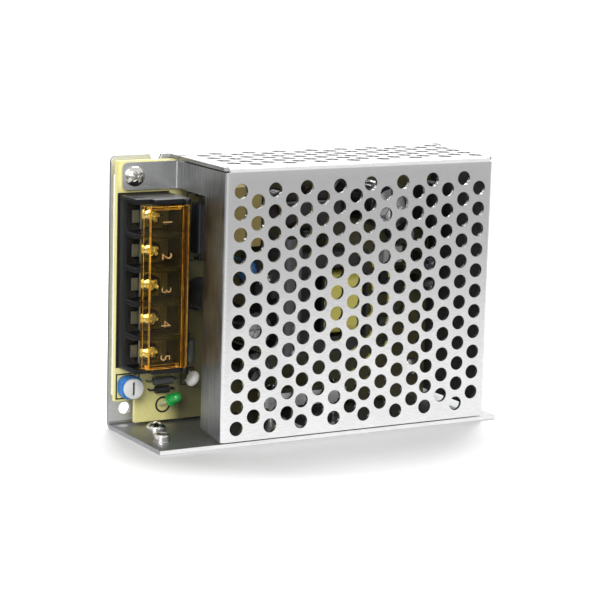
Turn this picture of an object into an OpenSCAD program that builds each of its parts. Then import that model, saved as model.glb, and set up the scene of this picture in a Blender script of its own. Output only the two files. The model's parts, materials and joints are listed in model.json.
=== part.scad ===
// Mesh case switching power supply, five-way screw terminal.
// Stands on its narrow side plate: X along the length, Y from front to back, Z up.
// Measured from the left end of the chassis, the front of the cover and the floor;
// stand() moves the whole to a frame with its origin at the middle of the footprint.

/* [Chassis] */
// Length of the chassis
chassis_l = 110; // [100:1:130]
// Height of the chassis back plate
chassis_h = 78; // [74:1:90]
// Depth over all, cover front to chassis back
overall_d = 36; // [34:1:42]
// Chassis sheet thickness
sheet_t = 1.2; // [0.8:0.1:1.5]
// Inside radius of the chassis bend
bend_r = 0.8; // [0.3:0.1:1.5]
// How far the cover front stands in front of the side plate
cover_lead = 1; // [0:0.1:2]
// Rounding of the chassis corners
corner_r = 2; // [0.5:0.1:3]
// Diameter of the mounting holes in the back plate
mount_d = 3.5; // [3:0.1:4.5]
// Distance of the mounting holes from the ends of the chassis
mount_in = 5.1; // [4:0.1:7]
// Height of the mounting holes above the floor
mount_up = 5.5; // [4.5:0.1:7]
// Distance of the right hand mounting hole from the right end
mount_in_right = 3.1; // [2.8:0.1:3.5]

/* [Side plate] */
// Place of the tapped hole along the side plate
tap_x = 5.7; // [4:0.1:9]
// Place of the tapped hole from the front
tap_y = 11.7; // [8:0.1:14]
// Height of the collar drawn up round the tapped hole
collar_h = 2; // [1:0.1:3]
// Outside diameter of the collar
collar_d = 4.4; // [4:0.1:6]
// Place of the earth screw along the side plate
earth_x = 10.1; // [9:0.1:13]
// Place of the earth screw from the front
earth_y = 24.4; // [20:0.1:26]

/* [Cover] */
// Left end of the cover, from the end of the chassis
cover_left = 18; // [17.6:0.1:19]
// Distance from the right end of the cover to the end of the chassis
cover_right = 5; // [4.8:0.1:9]
// Cover sheet thickness
cover_t = 1; // [0.6:0.1:1.2]
// Inside radius of the cover bends
cover_bend_r = 0.4; // [0.2:0.1:0.6]
// Gap between the cover and the side plate
cover_gap = 0.6; // [0.3:0.1:1.5]
// Depth of the left flap, from the cover front
flap_d = 12.4; // [8:0.1:13]
// Gap between the terminal block and the fixing tab above it
tab_gap = 1.1; // [0.5:0.1:2]
// How much shorter the flap is at its rear edge than at its bend
flap_rise = 2; // [0:0.1:4]
// How far the tab reaches along the board from the flap
tab_reach = 16.9; // [12:0.1:17]
// Gap under the closed end wall of the cover
end_gap = 2.2; // [1:0.1:4]
// Height of the two tongues that hook into the back plate
tongue_h = 7; // [4:0.1:10]

/* [Perforation] */
// Diameter of the round holes
hole_d = 4.1; // [2:0.1:4.4]
// Distance between holes in one column
hole_pitch = 6; // [5.8:0.1:7]
// Distance between columns inside one punched strip
column_step = 5.3; // [5.2:0.1:6]
// How much closer the next strip starts
strip_shift = 0.72; // [0:0.02:0.8]
// How much higher each next strip is
strip_rise = 0.25; // [0:0.05:0.3]
// Columns in one strip
strip_columns = 4; // [2:1:6]
// First column from the left end of the cover
first_column = 4.7; // [4:0.1:6]
// Top row below the top of the cover
first_row = 6.5; // [4.5:0.1:8]
// First row on the top face, from the front
top_row = 5.9; // [4:0.1:7]
// How far the holes of the top stand to the right of those of the front
top_shift = 2.2; // [0:0.1:2.3]

/* [Board] */
// Thickness of the circuit board
board_t = 1.5; // [1:0.1:2]
// Height of the stand-offs behind the board
standoff_h = 2.7; // [2:0.1:4]
// Outside diameter of the stand-offs
standoff_d = 5.5; // [5:0.1:6.5]
// Gap between the board and the side plate
board_gap = 0.8; // [0.5:0.1:2]
// Gap between the top of the board and the top of the chassis
board_top_gap = 1.1; // [1.1:0.1:3]
// Width of the notch at the lower left corner of the board
notch_w = 6.4; // [5:0.1:7]
// Height of the notch
notch_h = 6.7; // [6:0.1:8]
// Thickness of the insulating film on the back plate
film_t = 0.3; // [0.1:0.05:0.6]

/* [Screws] */
// Core diameter of an M3 thread
m3_core = 2.5; // [2.4:0.05:2.6]
// Clearance hole for an M3 screw
m3_clear = 3.4; // [3.2:0.1:3.6]
// Head diameter of an M3 pan head screw
m3_head_d = 5.6; // [5:0.1:6]
// Head height of an M3 pan head screw
m3_head_h = 2.2; // [1.6:0.1:2.6]
// Radial clearance of a screw in its thread
thread_clear = 0.03; // [0.01:0.01:0.1]

/* [Terminal block] */
// Distance between two terminals
way_pitch = 9.5; // [9:0.1:10]
// Height of the middle terminal above the floor
way_mid_z = 43.2; // [42:0.1:45]
// Left face of the block, from the end of the chassis
block_left = 0.5; // [0.2:0.1:1]
// Width of the block along the chassis
block_w = 14; // [13.8:0.1:14.2]
// Height of the block's base above the board
block_base_h = 5.2; // [4.5:0.1:6]
// Thickness of the barriers between terminals
barrier_t = 1.5; // [1:0.1:2]
// Height of the barriers above the board
barrier_h = 13.6; // [13:0.1:14]
// Height of the step at the wire side of the barriers
barrier_step_h = 11.4; // [11:0.1:11.6]
// Place of the terminal screws, from the left face of the block
way_screw_in = 7; // [6.6:0.1:7.2]
// Head diameter of the terminal screws
way_head_d = 5.2; // [4.6:0.1:6]
// Head height of the terminal screws
way_head_h = 2.2; // [1.6:0.1:2.4]
// Side of the square clamp plates
clamp_w = 7.2; // [6:0.1:7.6]
// Thickness of the clamp plates
clamp_t = 0.8; // [0.5:0.1:1]
// Thickness of the contact plates
contact_t = 1; // [0.6:0.1:1.2]

/* [Terminal cover] */
// Wall thickness of the hinged cover
lid_t = 1; // [0.7:0.1:1.2]
// Diameter of the round bead on the hinge edge
bead_d = 1.6; // [1.4:0.1:1.8]
// Diameter of the hinge pins
hinge_pin_d = 1; // [0.8:0.1:1.1]
// Length of each hinge pin
hinge_pin_l = 1.1; // [0.8:0.1:1.3]
// Radial clearance of the hinge pins
hinge_clear = 0.06; // [0.02:0.01:0.1]

/* [Trimmer and lamp] */
// Diameter of the trimmer dial
dial_d = 5.8; // [4:0.1:6]
// Side of the trimmer body
trimmer_w = 6.4; // [5.5:0.1:7]
// Place of the trimmer along the chassis
trimmer_x = 4; // [4:0.1:5]
// Height of the trimmer above the floor
trimmer_z = 12.9; // [12.8:0.1:14]
// Diameter of the status lamp
led_d = 3; // [2:0.1:4]

/* [Large components] */
// Transformer core, length along X
core_l = 23; // [20:0.5:26]
// Transformer core, height along Z
core_w = 29; // [24:0.5:30]
// Transformer core thickness
core_t = 7; // [5:0.5:8]
// Diameter of the bulk capacitor
bulk_d = 13; // [10:0.5:14]
// Height of the bulk capacitor
bulk_h = 24; // [18:0.5:26]
// Diameter of the output capacitors
output_d = 10; // [8:0.5:10]
// Height of the output capacitors
output_h = 20; // [14:0.5:24]
// Diameter of the small capacitors
small_cap_d = 5; // [4:0.5:5.5]
// Height of the small capacitors
small_cap_h = 10; // [7:0.5:12]
// Length of the mains capacitor
mains_l = 17; // [14:0.5:17.5]
// Width of the mains capacitor
mains_w = 8.4; // [6:0.2:8.8]
// Height of the mains capacitor
mains_h = 13; // [10:0.5:15]
// Diameter of the blue disc capacitor
blue_d = 7.5; // [5:0.5:8]
// Diameter of the white capacitor
white_d = 4.6; // [3.5:0.1:5]
// Diameter of the thermistor
thermistor_d = 8; // [7:0.5:10]
// Diameter of the sleeved fuse
fuse_d = 5; // [4:0.5:5]
// Length of the sleeved fuse
fuse_l = 14; // [12:0.5:15]
// Diameter of the output inductor
inductor_d = 8.8; // [7:0.2:9]
// Height of the output inductor
inductor_h = 11; // [8:0.5:14]
// Width of the bridge rectifier
bridge_w = 14.6; // [12:0.2:14.6]
// Thickness of the bridge rectifier
bridge_t = 3.4; // [3:0.1:3.6]
// Height of the bridge rectifier's body
bridge_h = 10.8; // [9:0.2:12]

/* [Hidden] */
$fn = 48;
eps = 0.01;

// Levels across the depth, from the cover front
back_face = overall_d;
back_inner = back_face - sheet_t;
film_face = back_inner - film_t;
board_back = back_inner - standoff_h;
board_face = board_back - board_t;
// Levels up the height
plate_top = sheet_t;
board_low = plate_top + board_gap;
board_high = chassis_h - board_top_gap;
// Ends of the cover and of the board
cover_x1 = chassis_l - cover_right;
board_end_gap = 0.6;
board_right = cover_x1 - cover_t - board_end_gap;
bend_outer = cover_t + cover_bend_r;
tab_slit = 0.4;
tab_end = cover_left - tab_reach;
tab_screw_x = tab_end + 3.7;
// Terminal block, with the fixing tab of the cover above it
ways = 5;
block_len = ways * way_pitch + barrier_t;
block_low = way_mid_z - block_len / 2;
tab_top = chassis_h - cover_t - tab_slit;
tab_low = block_low + block_len + tab_gap;
tab_h = tab_top - tab_low;
tab_mid = (tab_low + tab_top) / 2;
// Board fixings: the first one is under the cover tab
fixing_in = 5;
low_fixing_x = 33;
low_fixing_up = 9;
fixings = [
    [tab_screw_x, tab_mid],
    [board_right - fixing_in, board_high - fixing_in],
    [board_right - fixing_in, board_low + low_fixing_up],
    [low_fixing_x, board_low + fixing_in]
];
board_screw_l = 4;
cover_screw_l = 5;
// Bays of the terminal block
block_right = block_left + block_w;
bay_floor = board_face - block_base_h;
barrier_front = board_face - barrier_h;
step_front = board_face - barrier_step_h;
barrier_nose = 4.4;
rear_wall_t = 1.4;
way_x = block_left + way_screw_in;
way_core = 2.4;
way_bore_clear = 0.05;
way_screw_l = 6;
well_d = 3.4;
well_depth = block_base_h - 0.8;
contact_w = 6;
contact_y = bay_floor - contact_t;
clamp_y = contact_y - clamp_t;
clamp_lip = 0.5;
// Hinged cover over the terminals
lid_gap = 0.3;
lid_left = 3;
lid_lean = 1;
lid_inner = barrier_front - lid_gap;
lid_front = lid_inner - lid_t;
lid_foot = step_front - lid_gap;
lid_low = block_low + barrier_t + lid_gap;
lid_len = block_len - 2 * barrier_t - 2 * lid_gap;
hinge_y = lid_front + bead_d / 2;
hinge_x = block_right + lid_gap;
ear_r = hinge_pin_d / 2 + 0.5;
// Trimmer and lamp
trimmer_h = 3.2;
dial_t = 1.2;
dial_gap = 0.1;
dial_hub_d = 2.4;
led_x = 15.1;
led_z = 6.6;
led_lean = [-29, 24];
// Perforation
cover_low = plate_top + cover_gap;
top_depth = back_inner - 0.3;
hole_edge = hole_d / 2 + 0.7;
function column_x(c) = cover_left + first_column + c * column_step
    - strip_shift * floor(c / strip_columns);
function column_rise(c) = strip_rise * floor(c / strip_columns);
columns = len([for (c = [0:60]) if (column_x(c) + hole_edge < cover_x1 - bend_outer) c]);
low_rim = 1.2;
rows = len([for (r = [0:60])
    if (chassis_h - first_row - r * hole_pitch - hole_d / 2 > cover_low + low_rim) r]);
top_half_rows = len([for (r = [0:60])
    if (top_row + r * hole_pitch / 2 + hole_edge < top_depth) r]);
// Tongues of the cover's closed end, hooked into slots in the back plate
tongue_clear = 0.15;
tongue_z = [for (share = [0.22, 0.72]) chassis_h * share];
// Transistor clamped to the side plate under a bar with two screws
pad_t = 0.3;
device_w = 10;
device_t = 4.5;
device_l = 15.6;
device_y = 10.4;
device_x = 54.5;
bar_h = 4;
bar_w = 6;
bar_y = device_y + 6;
bar_l = 27;
bar_screws = [for (side = [-1, 1]) device_x + side * (bar_l / 2 - 3.5)];
device_low = plate_top + pad_t;
bar_low = device_low + device_t;
// Places on the board, each from the end or edge of the board that it keeps to
bulk_at = [74.5, board_high - 12.9];
output_1_at = [34.2, 30.5];
output_2_at = [34.2, 19];
mains_at = [34.4, board_high - 15.4];
filter_at = [53.5, board_high - 13.4];
fuse_at = [24.6, board_high - 19.4];
thermistor_at = [58, board_high - 22.6];
blue_at = [35.2, 46];
white_at = [22.8, 14.2];
inductor_at = [25.8, 38];
bridge_at = [board_right - 5.4, board_high - 15.9];
chip_at = [board_right - 14.2, 38];
coupler_at = [board_right - 15, 46.4];
small_caps_at = [
    [board_right - 5.4, 37],
    [board_right - 5.4, 44],
    [board_right - 13.4, 53]
];
// Resistors and diodes: place and turn
resistors_at = [
    [14.4, 13.9, 0],
    [23, 22, 90],
    [43, 14, 90],
    [board_right - 15, 26, 0],
    [board_right - 15, 29.6, 0],
    [board_right - 12.4, 20, 0],
    [board_right - 8.9, 53, 90]
];
diodes_at = [
    [14.2, 11.3, 0],
    [board_right - 8.4, 28, 90],
    [board_right - 2, 52.4, 90]
];
// Mains filter
filter_l = 18;
filter_h = 16;
filter_leg = 3.6;
// Transformer
core_x = 62.4;
core_z = 35.5;
core_low = 7;
core_back = 4;
core_leg = 4.4;
centre_leg = 6;
window_l = core_l - 2 * core_back;
winding_w = 17;
winding_h = 17.6;
bobbin_t = 1;
tube = centre_leg + 2 * bobbin_t + 0.2;
// Plate that cools the output rectifier
spreader_x = 42;
spreader_z = 22.3;
spreader_h = 33.4;
spreader_t = 1.5;
spreader_w = 5;
spreader_front = 8.5;
rectifier_z = 44;
rectifier_end = 3.4;
device_hole = 3.2;
rectifier_hole = board_face - spreader_front - rectifier_end - device_l + device_hole;

module stand() translate([-chassis_l / 2, -overall_d / 2, 0]) children();

// ---- plain shapes ----

// Two legs a and b of sheet t that meet in a bend of inside radius r
module angle_section(a, b, t, r) {
    translate([r + t, 0]) square([a - r - t, t]);
    translate([0, r + t]) square([t, b - r - t]);
    intersection() {
        square(r + t);
        translate([r + t, r + t]) difference() {
            circle(r + t);
            circle(r);
        }
    }
}

// Rectangle with true round corners
module round_rect(w, h, r) {
    translate([r, 0]) square([w - 2 * r, h]);
    translate([0, r]) square([w, h - 2 * r]);
    for (x = [r, w - r], y = [r, h - r]) translate([x, y]) circle(r);
}

// Section given as depth against height, drawn out along the chassis from x
module along(x, l) translate([x, 0, 0]) rotate([90, 0, 90]) linear_extrude(l) children();

// Sheet parallel to the back plate: its rear face lies at y, its thickness points to the front
module upright(y, t) translate([0, y, 0]) rotate([90, 0, 0]) linear_extrude(t) children();

// Frame on the board's face, with its z axis pointing to the front
module on_board(x, z, y = board_face) translate([x, y, z]) rotate([90, 0, 0]) children();

// The same at a place given as a list, its first two numbers
module seated(place) on_board(place[0], place[1]) children();

// Pan head screw, seat of the head at z = 0, shank downwards, with a cross recess
module pan_screw(head_d, head_h, core_d, shank_l) {
    recess_w = head_d * 0.16;
    recess_l = head_d * 0.56;
    dome_r = head_d * 0.62;
    difference() {
        union() {
            rotate_extrude() intersection() {
                square([head_d / 2, head_h]);
                translate([0, head_h - dome_r]) circle(dome_r);
            }
            translate([0, 0, -shank_l]) cylinder(d = core_d, h = shank_l + eps);
        }
        for (turn = [0, 90]) rotate(turn)
            translate([-recess_l / 2, -recess_w / 2, head_h * 0.45]) cube([recess_l, recess_w, head_h]);
    }
}

// Round can with a rolled groove near its foot and a dished, scored end
module can(d, h) {
    groove = 0.45;
    rim = d * 0.11;
    dish = 0.35;
    edge = 0.4;
    difference() {
        rotate_extrude() difference() {
            union() {
                translate([0, edge]) square([d / 2, h - 2 * edge]);
                square([d / 2 - edge, h]);
                for (z = [edge, h - edge]) translate([d / 2 - edge, z]) circle(edge);
            }
            translate([d / 2 + groove / 2, 2.2]) circle(groove);
            translate([0, h - dish]) square([d / 2 - rim, dish + eps]);
            translate([-edge * 3, -eps]) square([edge * 3, h + 2 * eps]);
        }
        for (turn = [0, 60, 120]) rotate(turn)
            translate([-d * 0.3, -0.15, h - dish - 0.2]) cube([d * 0.6, 0.3, 1]);
    }
}

// Part lying along x on the board, with its two leads bent down to it
module axial(d, l, span, lead_d = 0.6) {
    up = d / 2 + 0.2;
    translate([-l / 2, 0, up]) rotate([0, 90, 0]) cylinder(d = d, h = l);
    translate([-span / 2, 0, up]) rotate([0, 90, 0]) cylinder(d = lead_d, h = span);
    for (side = [-1, 1]) translate([side * span / 2, 0, 0]) {
        cylinder(d = lead_d, h = up);
        translate([0, 0, up]) rotate_extrude() difference() {
            circle(d = lead_d);
            translate([-lead_d, -lead_d]) square([lead_d, 2 * lead_d]);
        }
    }
}

// Round edged disc standing on two leads, its faces towards y
module disc_part(d, t, lead_h, lead_gap) {
    rim = t / 2;
    translate([0, t / 2, lead_h + d / 2]) rotate([90, 0, 0]) rotate_extrude() {
        square([d / 2 - rim, t]);
        translate([d / 2 - rim, rim]) intersection() {
            circle(rim);
            translate([0, -rim]) square([rim, 2 * rim]);
        }
    }
    for (side = [-1, 1]) translate([side * lead_gap / 2, 0, 0]) cylinder(d = 0.6, h = lead_h + 1.5);
}

// Moulded power device lying on its back: body from y = 0, three leads beyond it
module power_device(lead_l) {
    lead_pitch = 2.54;
    lead_w = 0.8;
    lead_t = 0.5;
    step_l = 6.5;
    step_t = 2.8;
    difference() {
        translate([-device_w / 2, 0, 0]) union() {
            cube([device_w, step_l, step_t]);
            translate([0, step_l, 0]) cube([device_w, device_l - step_l, device_t]);
        }
        translate([0, device_hole, -1]) cylinder(d = 3.2, h = device_t + 2);
    }
    for (i = [-1:1]) translate([i * lead_pitch - lead_w / 2, device_l - eps, device_t * 0.52])
        cube([lead_w, lead_l + eps, lead_t]);
}

// Chip in a two row package with its legs down to the board
module chip(l, w, h, legs) {
    leg_pitch = 2.54;
    leg_w = 0.5;
    leg_t = 0.3;
    up = 0.5;
    translate([-l / 2, -w / 2, up]) difference() {
        cube([l, w, h]);
        translate([0, w / 2, h - 0.4]) cylinder(r = 0.8, h = 1);
    }
    for (i = [0:legs - 1], side = [-1, 1])
        translate([(i - (legs - 1) / 2) * leg_pitch - leg_w / 2, side * (w / 2 + leg_t / 2) - leg_t / 2, 0])
            cube([leg_w, leg_t, up + h / 2]);
}

// ---- chassis ----

module chassis() color("gainsboro") {
    notch_x = 13.8;
    through = sheet_t + 2;
    difference() {
        along(0, chassis_l) translate([back_face, 0]) mirror([1, 0])
            angle_section(overall_d - cover_lead, chassis_h, sheet_t, bend_r);
        upright(back_face + 1, through) {
            for (x = [mount_in, chassis_l - mount_in_right]) translate([x, mount_up]) circle(d = mount_d);
            translate([notch_x, chassis_h]) circle(d = mount_d);
            for (f = fixings) translate(f) circle(d = m3_core);
            for (z = tongue_z) translate([cover_x1 - cover_t - tongue_clear, z - tongue_clear])
                square([cover_t + 2 * tongue_clear, tongue_h + 2 * tongue_clear]);
            for (side = [0, 1]) translate([side * chassis_l, chassis_h]) mirror([side, 0])
                translate([0, -corner_r]) difference() {
                    translate([-1, 0]) square([corner_r + 1, corner_r + 1]);
                    translate([corner_r, 0]) circle(corner_r);
                }
        }
        translate([0, 0, -1]) for (p = concat([[tap_x, tap_y], [earth_x, earth_y]],
                [for (x = bar_screws) [x, bar_y + bar_w / 2]]))
            translate(p) cylinder(d = m3_core, h = through);
    }
    collar();
}

// Collar drawn up round the tapped hole, with a rolled shoulder
module collar() {
    shoulder = 0.6;
    wall = (collar_d - m3_core) / 2;
    translate([tap_x, tap_y, plate_top]) rotate_extrude() translate([m3_core / 2, 0]) {
        square([wall, collar_h - shoulder]);
        square([wall - shoulder, collar_h]);
        translate([wall - shoulder, collar_h - shoulder]) intersection() {
            circle(shoulder);
            square(shoulder);
        }
    }
}

// ---- perforated cover ----

// Holes of the front: every second column drops by half a pitch and has one hole less
module front_holes() {
    for (c = [0:columns - 1], r = [0:rows - 1 - c % 2])
        translate([column_x(c), chassis_h - first_row + column_rise(c)
            - (r + (c % 2) / 2) * hole_pitch]) circle(d = hole_d);
}

// Holes of the top: the same columns, moved along and staggered the same way
module top_holes() {
    for (c = [0:columns - 1], r = [0:top_half_rows - 1])
        if ((c + r) % 2 == 1)
            translate([column_x(c) + top_shift, top_row + r * hole_pitch / 2]) circle(d = hole_d);
}

// One folded sheet: front, top, a narrow left flap with its fixing tab, and a closed right end
module mesh_cover() color("lightgray") {
    front_left = cover_left + bend_outer;
    front_right = cover_x1 - bend_outer;
    difference() {
        union() {
            // long bend between front and top
            along(front_left, front_right - front_left) translate([0, chassis_h]) mirror([0, 1])
                angle_section(bend_outer + eps, bend_outer + eps, cover_t, cover_bend_r);
            upright(cover_t, cover_t) difference() {
                translate([front_left, cover_low])
                    square([front_right - front_left, chassis_h - bend_outer - cover_low]);
                front_holes();
            }
            translate([0, 0, chassis_h - cover_t]) linear_extrude(cover_t) top_sheet();
            translate([cover_left, 0, cover_low]) linear_extrude(tab_top - cover_low)
                angle_section(bend_outer + eps, flap_d, cover_t, cover_bend_r);
            translate([cover_x1, 0, cover_low]) mirror([1, 0, 0])
                linear_extrude(tab_top - cover_low)
                    angle_section(bend_outer + eps, top_depth, cover_t, cover_bend_r);
            for (z = tongue_z) translate([cover_x1 - cover_t, top_depth - eps, z])
                cube([cover_t, back_face - top_depth - 0.2, tongue_h]);
            fixing_tab();
        }
        // the closed end stops short of the side plate
        translate([cover_x1 - cover_t - 1, bend_outer + 1, cover_low - 1])
            cube([cover_t + 2, back_face, end_gap - cover_gap + 1]);
        // the flap's foot rises to its rear edge
        along(cover_left - 1, cover_t + 2) translate([bend_outer, cover_low]) polygon([
            [0, 0], [flap_d, flap_rise], [flap_d, -1], [0, -1]]);
    }
}

module top_sheet() {
    relief_w = 2.6;
    relief_d = 1.6;
    relief_y = top_depth - 6;
    difference() {
        translate([cover_left, bend_outer]) square([cover_x1 - cover_left, top_depth - bend_outer]);
        top_holes();
        translate([cover_left - 1, relief_y]) square([relief_w + 1, relief_d]);
    }
}

// Tab that runs back from the flap's upper end and turns out over the board
module fixing_tab() {
    fold = bend_outer + eps;
    bend_x = cover_left + cover_t;
    end_r = 1.6;
    translate([0, 0, tab_low]) linear_extrude(tab_top - tab_low) {
        translate([cover_left, flap_d - eps]) square([cover_t, board_face - bend_outer - flap_d + 2 * eps]);
        translate([bend_x, board_face]) rotate(180) angle_section(fold, fold, cover_t, cover_bend_r);
    }
    upright(board_face, cover_t) difference() {
        union() {
            translate([tab_end, tab_low]) round_rect(tab_h, tab_top - tab_low, end_r);
            translate([tab_end + end_r * 2, tab_low])
                square([bend_x - bend_outer - tab_end - end_r * 2, tab_top - tab_low]);
        }
        translate([tab_screw_x, tab_mid]) circle(d = m3_clear);
    }
}

// ---- fixings ----

module cover_screw() color("silver")
    on_board(tab_screw_x, tab_mid, board_face - cover_t)
        rotate(35) pan_screw(m3_head_d, m3_head_h, m3_core - 2 * thread_clear, cover_screw_l);

module earth_screw() color("silver")
    translate([earth_x, earth_y, plate_top]) rotate(20)
        pan_screw(m3_head_d, m3_head_h, m3_core - 2 * thread_clear, sheet_t);

module board_standoffs() color("silver")
    for (f = fixings) on_board(f[0], f[1], back_inner) difference() {
        cylinder(d = standoff_d, h = standoff_h);
        translate([0, 0, -1]) cylinder(d = m3_core, h = standoff_h + 2);
    }

module board_screws() color("silver")
    for (i = [1:len(fixings) - 1]) on_board(fixings[i][0], fixings[i][1])
        pan_screw(m3_head_d, m3_head_h, m3_core - 2 * thread_clear, board_screw_l);

module insulating_film() color([0.86, 0.86, 0.82]) {
    edge = 1;
    hole = standoff_d + 0.6;
    upright(back_inner, film_t) difference() {
        translate([edge, board_low]) square([board_right - edge, board_high - board_low - edge]);
        square([notch_w + mount_d / 2, board_low + notch_h + 1]);
        for (f = fixings) translate(f) circle(d = hole);
        translate([0, fixings[0][1]]) square([fixings[0][0], chassis_h]);
    }
}

module circuit_board() color([0.93, 0.90, 0.62])
    upright(board_back, board_t) difference() {
        translate([0, board_low]) square([board_right, board_high - board_low]);
        translate([-1, board_low - 1]) square([notch_w + 1, notch_h + 1]);
        for (f = fixings) translate(f) circle(d = m3_clear);
    }

// ---- terminal block ----

function way_z(n) = way_mid_z + (3 - n) * way_pitch;

// Plan of a barrier: full width at its foot, stepped back on the wire side
module barrier_plan() {
    round_r = 0.8;
    left = block_left + barrier_nose;
    translate([block_left, step_front]) square([block_w, board_face - step_front]);
    translate([left, barrier_front + round_r])
        square([block_w - barrier_nose, step_front - barrier_front]);
    translate([left + round_r, barrier_front])
        square([block_w - barrier_nose - round_r, round_r + eps]);
    translate([left + round_r, barrier_front + round_r]) circle(round_r);
}

module terminal_block() color([0.13, 0.13, 0.14]) {
    wall_front = hinge_y + bead_d / 2 + lid_gap;
    difference() {
        union() {
            translate([block_left, bay_floor, block_low]) cube([block_w, block_base_h, block_len]);
            translate([block_right - rear_wall_t, wall_front, block_low])
                cube([rear_wall_t, board_face - wall_front, block_len]);
            for (i = [0:ways]) translate([0, 0, block_low + i * way_pitch])
                linear_extrude(barrier_t) barrier_plan();
            // ears that hold the hinge pins
            for (i = [0, ways]) translate([hinge_x, hinge_y, block_low + i * way_pitch])
                linear_extrude(barrier_t) {
                    circle(ear_r);
                    translate([-ear_r, 0]) square([2 * ear_r, board_face - hinge_y]);
                }
        }
        translate([hinge_x, hinge_y, block_low - 1])
            cylinder(r = hinge_pin_d / 2 + hinge_clear, h = block_len + 2);
        // room for the bead between the ears
        translate([hinge_x, hinge_y, block_low + barrier_t])
            cylinder(r = bead_d / 2 + lid_gap, h = block_len - 2 * barrier_t);
        for (n = [1:ways]) on_board(way_x, way_z(n), bay_floor + well_depth)
            cylinder(d = well_d, h = well_depth + 1);
    }
}

// Flat contacts on the floors of the bays, each with a narrow wire tongue
module contact_plates() color("silver") {
    tongue_w = 3.6;
    tongue_l = 2.2;
    left = block_left + 3.6;
    right = block_right - rear_wall_t - 0.1;
    for (n = [1:ways]) upright(bay_floor, contact_t) translate([0, way_z(n)]) difference() {
        union() {
            translate([left, -contact_w / 2]) square([right - left, contact_w]);
            translate([left - tongue_l, -tongue_w / 2]) square([tongue_l + eps, tongue_w]);
        }
        translate([way_x, 0]) circle(d = way_core + 2 * way_bore_clear);
    }
}

// Square clamp plate with two lips that keep it from turning
module clamp_plate(n) color("silver") {
    lip_h = 0.8;
    translate([0, 0, way_z(n)]) {
        upright(contact_y, clamp_t) difference() {
            translate([way_x, 0]) square(clamp_w, center = true);
            translate([way_x, 0]) circle(d = way_core + 0.6);
        }
        for (side = [-1, 1]) translate([way_x - clamp_w / 2, contact_y - eps,
                side * (clamp_w / 2 - clamp_lip / 2) - clamp_lip / 2])
            cube([clamp_w, lip_h, clamp_lip]);
    }
}

module terminal_screw(n) color("silver")
    on_board(way_x, way_z(n), clamp_y) rotate(20 * n)
        pan_screw(way_head_d, way_head_h, way_core, way_screw_l);

// Amber cover: a tray hinged on a bead along its right edge
module terminal_cover() color([0.95, 0.62, 0.1, 0.6]) {
    end_foot = lid_inner + 1.6;
    end_left = lid_left + lid_t;
    end_right = block_right - rear_wall_t - lid_gap;
    translate([0, 0, lid_low]) linear_extrude(lid_len) {
        translate([lid_left, lid_front]) square([hinge_x - lid_left, lid_t]);
        translate([hinge_x, hinge_y]) circle(d = bead_d);
        polygon([
            [lid_left, lid_front], [lid_left + lid_t, lid_front],
            [lid_left - lid_lean + lid_t, lid_foot], [lid_left - lid_lean, lid_foot]]);
    }
    for (z = [lid_low, lid_low + lid_len - lid_t]) translate([0, 0, z]) linear_extrude(lid_t)
        polygon([[end_left - eps, lid_inner - eps], [end_right, lid_inner - eps],
            [end_right, end_foot], [end_left - lid_lean / 2, end_foot]]);
    for (z = [lid_low - hinge_pin_l, lid_low + lid_len - eps])
        translate([hinge_x, hinge_y, z]) cylinder(d = hinge_pin_d, h = hinge_pin_l + eps);
}

// ---- trimmer and status lamp ----

module trimmer_body() color([0.12, 0.38, 0.72])
    on_board(trimmer_x, trimmer_z) difference() {
        translate([-trimmer_w / 2, -trimmer_w / 2, 0]) linear_extrude(trimmer_h)
            round_rect(trimmer_w, trimmer_w, trimmer_w * 0.36);
        translate([0, 0, trimmer_h - 2]) cylinder(r = dial_hub_d / 2 + hinge_clear, h = 3);
    }

module trimmer_dial() color("whitesmoke")
    on_board(trimmer_x, trimmer_z) {
        slot_w = 0.8;
        slot_l = 3.8;
        translate([0, 0, trimmer_h + dial_gap]) difference() {
            cylinder(d = dial_d, h = dial_t);
            translate([-slot_w / 2, -slot_l / 2, dial_t - 0.6]) cube([slot_w, slot_l, 1]);
        }
        translate([0, 0, trimmer_h - 1.8]) cylinder(d = dial_hub_d, h = 1.8 + dial_gap + eps);
    }

module status_lamp() color([0.1, 0.75, 0.25])
    difference() {
        on_board(led_x, led_z) rotate([led_lean[0], led_lean[1], 0]) {
            lead_up = 3;
            flange_d = led_d + 0.7;
            body_l = 3.3;
            for (side = [-1, 1]) translate([side * 1.27 - 0.25, -0.25, -1]) cube([0.5, 0.5, lead_up + 1.2]);
            translate([0, 0, lead_up]) rotate_extrude() {
                square([flange_d / 2, 0.9]);
                square([led_d / 2, body_l]);
                translate([0, body_l]) intersection() {
                    circle(led_d / 2);
                    square(led_d);
                }
            }
        }
        translate([led_x - 5, board_face, led_z - 5]) cube([10, 5, 10]);
    }

// ---- transformer ----

module transformer_core() color([0.22, 0.22, 0.23])
    on_board(core_x, core_z) translate([0, 0, core_low]) linear_extrude(core_t) difference() {
        square([core_l, core_w], center = true);
        for (side = [0, 1]) mirror([0, side]) translate([-window_l / 2, centre_leg / 2])
            square([window_l, core_w / 2 - core_leg - centre_leg / 2]);
    }

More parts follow.
